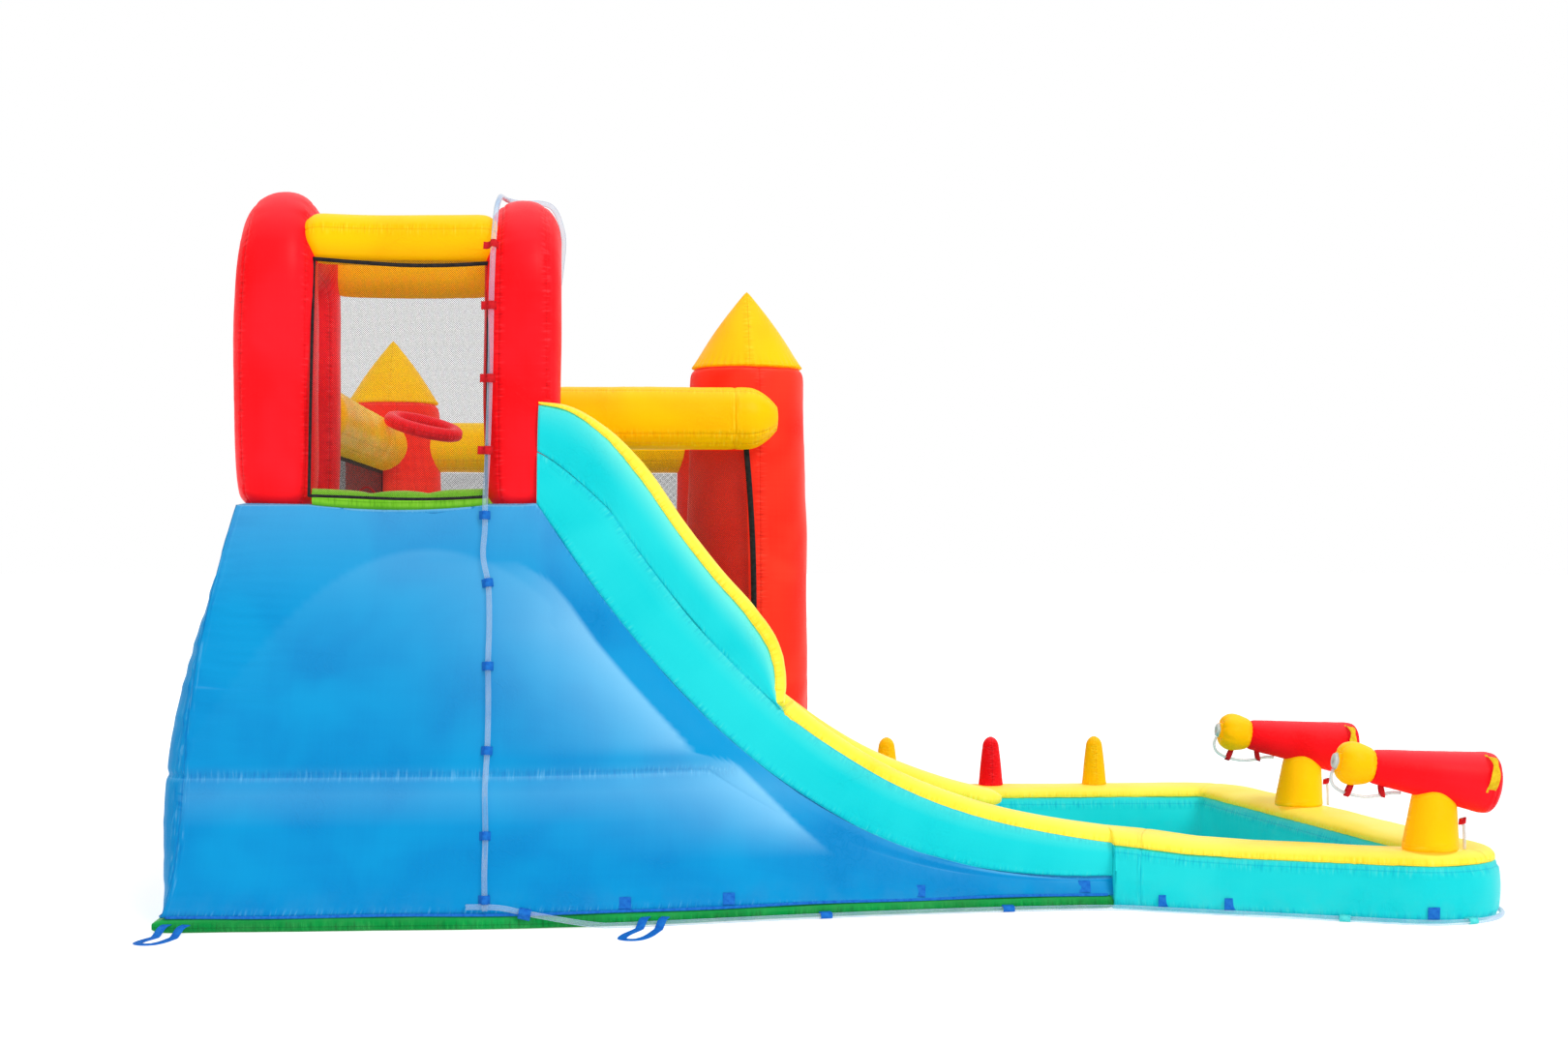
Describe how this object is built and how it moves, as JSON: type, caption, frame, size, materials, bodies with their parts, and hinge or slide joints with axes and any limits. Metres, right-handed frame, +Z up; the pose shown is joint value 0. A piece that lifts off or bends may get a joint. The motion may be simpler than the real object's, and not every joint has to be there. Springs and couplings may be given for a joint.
{
  "type": "inflatable bouncy castle with slide and splash pool",
  "caption": "Inflatable bouncy castle: netted bounce room with pointed towers, climbing wall, slide tower, curved slide and a splash pool with water cannons that swivel and tilt.",
  "frame": {"origin": "on the ground, under the bounce room's mat, 0.275 m in from the mat's entrance edge", "axes": "+Z up, +X down the slide towards the pool, +Y from the slide lane across the bounce room"},
  "size_m": [4.4864, 4.3771, 2.4691],
  "materials": {
    "red_fabric": "coated woven fabric, soft sheen",
    "orange_red_fabric": "coated woven fabric, soft sheen",
    "yellow_fabric": "coated woven fabric, soft sheen",
    "blue_fabric": "coated woven fabric, soft sheen",
    "cyan_fabric": "coated woven fabric, soft sheen",
    "green_fabric": "coated woven fabric, soft sheen",
    "black_netting": "fine knotless netting",
    "clear_tube": "clear flexible tube",
    "grey_plastic": "moulded",
    "blue_webbing": "woven webbing"
  },
  "bodies": {
    "castle": {"ground_mat_slide": "green_fabric", "slide_base": "blue_fabric", "base_baffle_rear": "blue_fabric", "base_baffle_front": "blue_fabric", "platform_pad": "green_fabric", "slide_bed": "cyan_fabric", "slide_wall_near": "cyan_fabric", "slide_wall_far": "cyan_fabric", "slide_wing_near": "cyan_fabric", "slide_wing_far": "cyan_fabric", "wall_cap_near": "yellow_fabric", "wall_cap_far": "yellow_fabric", "wing_cap_near": "yellow_fabric", "wing_cap_far": "yellow_fabric", "tower_arch_back": "red_fabric", "tower_arch_front": "red_fabric", "tower_beam_near": "yellow_fabric", "tower_beam_far": "yellow_fabric", "tower_net_near": "black_netting", "tower_net_back": "black_netting", "ground_mat_bounce": "green_fabric", "bounce_floor": "cyan_fabric", "floor_baffle": "cyan_fabric", "column_front_near": "orange_red_fabric", "column_front_far": "orange_red_fabric", "column_back_far": "orange_red_fabric", "turret_front_near": "yellow_fabric", "turret_front_far": "yellow_fabric", "turret_back_far": "yellow_fabric", "rail_near": "yellow_fabric", "rail_back": "yellow_fabric", "rail_far": "yellow_fabric", "net_near": "black_netting", "net_back": "black_netting", "net_far": "black_netting", "climbing_wall": "cyan_fabric", "hoop": "red_fabric", "entrance_step": "yellow_fabric", "pool_floor": "cyan_fabric", "pool_wall": "cyan_fabric", "pool_cap": "yellow_fabric", "peg_1": "yellow_fabric", "peg_2": "red_fabric", "peg_3": "yellow_fabric", "hose_riser": "clear_tube", "hose_supply": "clear_tube", "anchor_strap_rear": "blue_webbing", "anchor_strap_side": "blue_webbing"},
    "pedestal_near": {"cannon_pedestal_near": "yellow_fabric", "cannon_feed_near": "clear_tube"},
    "barrel_near": {"cannon_barrel_near": "red_fabric", "cannon_nose_near": "yellow_fabric", "cannon_nozzle_near": "grey_plastic", "cannon_tube_near": "clear_tube"},
    "pedestal_far": {"cannon_pedestal_far": "yellow_fabric", "cannon_feed_far": "clear_tube"},
    "barrel_far": {"cannon_barrel_far": "red_fabric", "cannon_nose_far": "yellow_fabric", "cannon_nozzle_far": "grey_plastic", "cannon_tube_far": "clear_tube"}
  },
  "joints": [
    {"name": "near_swivel", "type": "hinge", "parent": "castle", "child": "pedestal_near", "pos_m": [2.21367, -1.97573, 0.2326], "axis": [0, 0, 1], "range_deg": [-15, 15], "stiffness_Nm_per_rad": 8},
    {"name": "near_tilt", "type": "hinge", "parent": "pedestal_near", "child": "barrel_near", "pos_m": [2.21367, -1.97573, 0.3955], "axis": [0, 1, 0], "range_deg": [-7, 7], "stiffness_Nm_per_rad": 10},
    {"name": "far_swivel", "type": "hinge", "parent": "castle", "child": "pedestal_far", "pos_m": [2.17356, -0.65471, 0.2326], "axis": [0, 0, 1], "range_deg": [-15, 15], "stiffness_Nm_per_rad": 8},
    {"name": "far_tilt", "type": "hinge", "parent": "pedestal_far", "child": "barrel_far", "pos_m": [2.17356, -0.65471, 0.3955], "axis": [0, 1, 0], "range_deg": [-7, 7], "stiffness_Nm_per_rad": 10}
  ]
}
